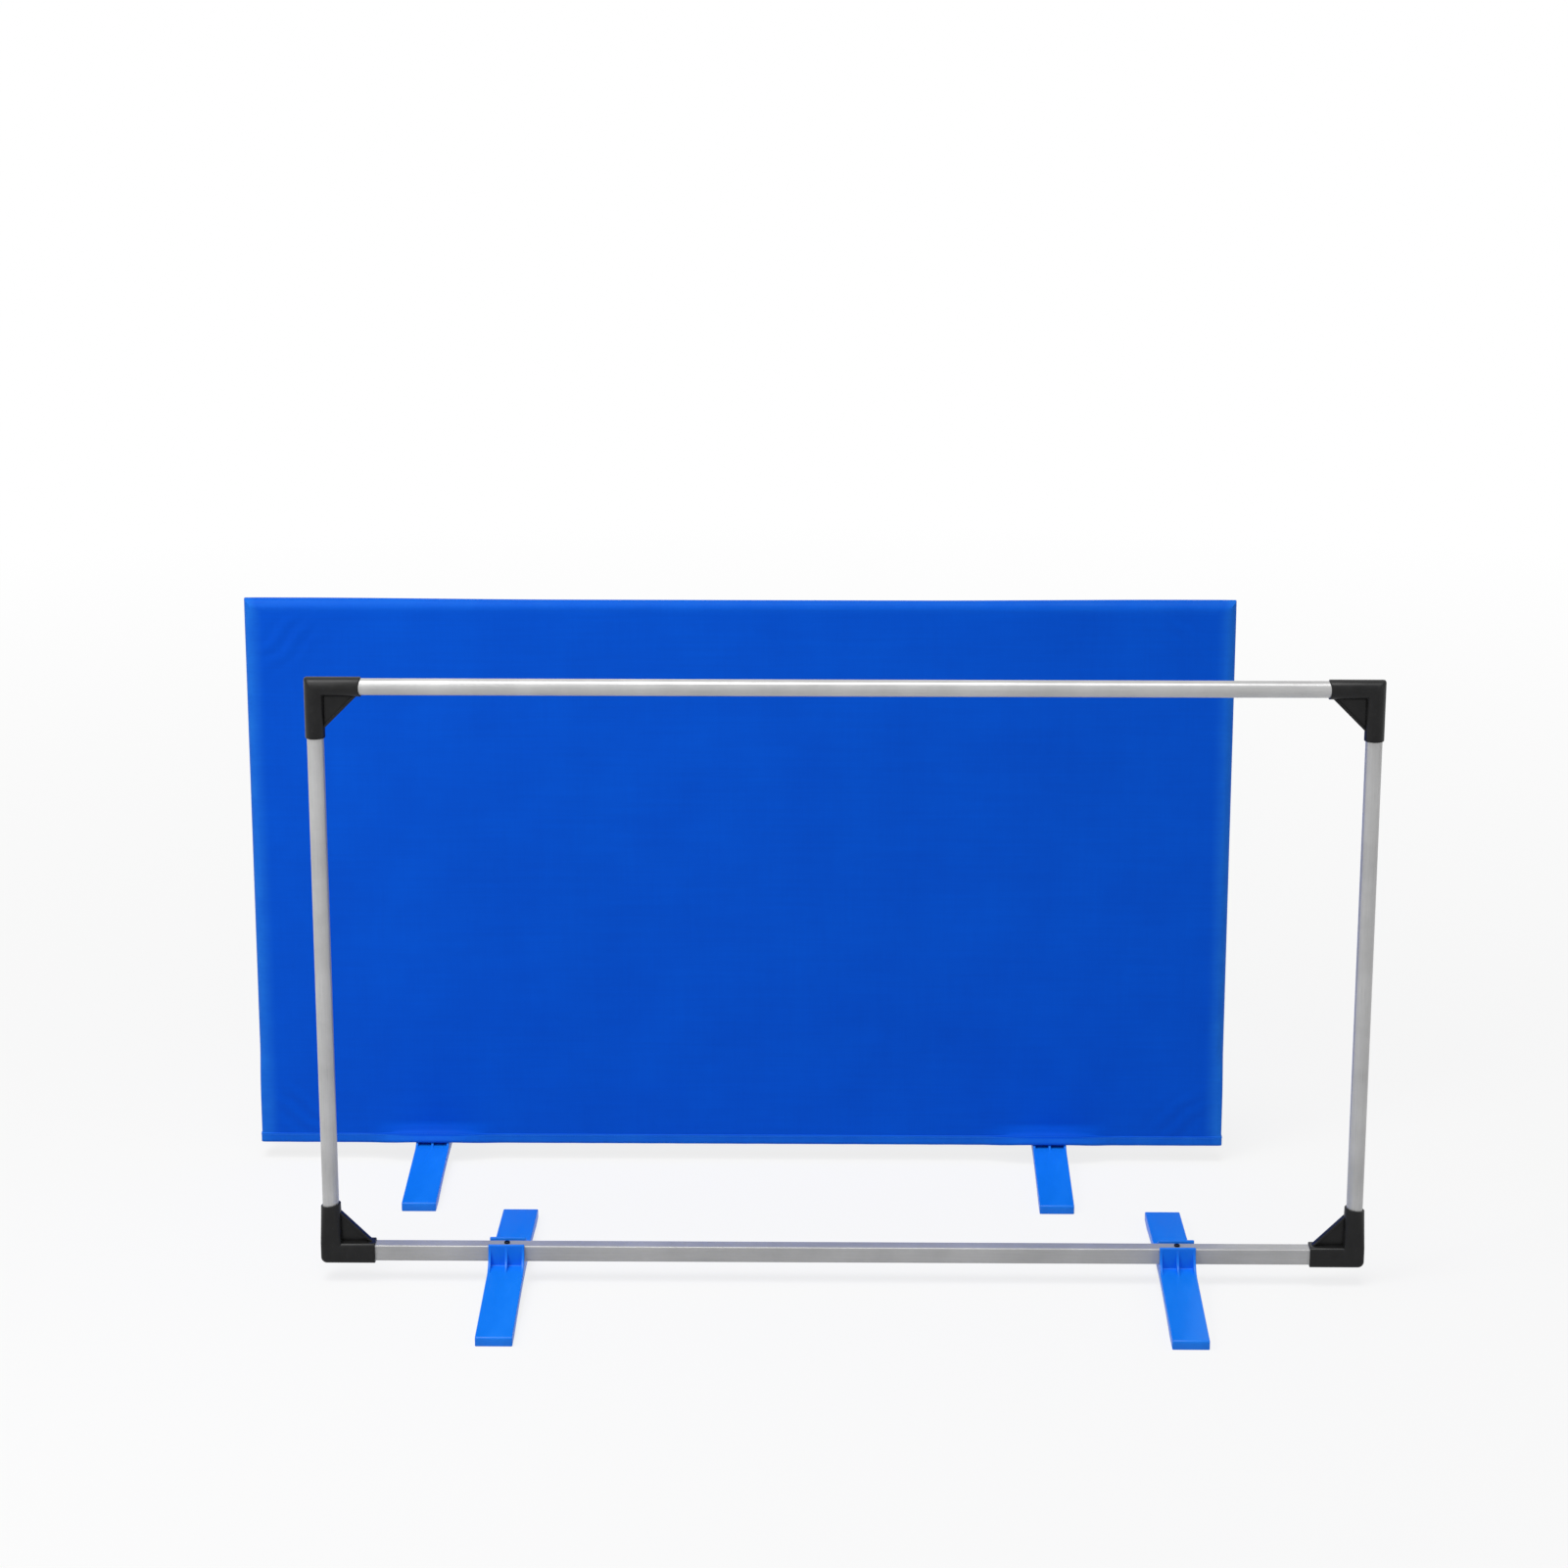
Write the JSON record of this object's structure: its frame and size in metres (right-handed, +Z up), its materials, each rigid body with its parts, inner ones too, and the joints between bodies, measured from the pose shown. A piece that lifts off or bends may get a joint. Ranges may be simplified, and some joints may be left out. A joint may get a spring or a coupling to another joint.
{
  "type": "table tennis barrier",
  "caption": "Free-standing table tennis court barrier: tube frame pushed into moulded corners on arched cross feet, shown bare and dressed in a slip-over cloth cover.",
  "frame": {"origin": "on the floor, at the middle of the footprint of the row of barriers", "axes": "+X along the frames to the right as seen from the front, +Y from the bare barrier in front to the dressed barrier behind, +Z up"},
  "size_m": [1.5476, 0.92, 0.8365],
  "materials": {
    "aluminium": "satin anodised",
    "black_plastic": "moulded, slightly worn sheen",
    "blue_plastic": "moulded, satin",
    "blue_cloth": "tightly woven coated cloth",
    "black_steel": "blackened",
    "zinc_steel": "zinc plated"
  },
  "bodies": {
    "dressed_barrier": {"dressed_top_tube": "aluminium", "dressed_left_upright": "aluminium", "dressed_right_upright": "aluminium", "dressed_bottom_rail": "aluminium", "dressed_top_left_corner": "black_plastic", "dressed_top_right_corner": "black_plastic", "dressed_bottom_left_corner": "black_plastic", "dressed_bottom_right_corner": "black_plastic", "dressed_left_foot": "blue_plastic", "dressed_right_foot": "blue_plastic", "dressed_left_foot_screw": "black_steel", "dressed_right_foot_screw": "black_steel", "dressed_left_foot_washer": "zinc_steel", "dressed_right_foot_washer": "zinc_steel", "dressed_left_foot_nut": "zinc_steel", "dressed_right_foot_nut": "zinc_steel"},
    "cover": {"dressed_cover": "blue_cloth"},
    "bare_barrier": {"bare_top_tube": "aluminium", "bare_left_upright": "aluminium", "bare_right_upright": "aluminium", "bare_bottom_rail": "aluminium", "bare_top_left_corner": "black_plastic", "bare_top_right_corner": "black_plastic", "bare_bottom_left_corner": "black_plastic", "bare_bottom_right_corner": "black_plastic", "bare_left_foot": "blue_plastic", "bare_right_foot": "blue_plastic", "bare_left_foot_screw": "black_steel", "bare_right_foot_screw": "black_steel", "bare_left_foot_washer": "zinc_steel", "bare_right_foot_washer": "zinc_steel", "bare_left_foot_nut": "zinc_steel", "bare_right_foot_nut": "zinc_steel"}
  },
  "joints": [
    {"name": "cover_lift", "type": "slide", "parent": "dressed_barrier", "child": "cover", "axis": [0, 0, 1], "range_m": [0, 0.82]},
    {"name": "bare_barrier_slide", "type": "slide", "parent": "dressed_barrier", "child": "bare_barrier", "axis": [0, -1, 0], "range_m": [0, 0.5]}
  ]
}
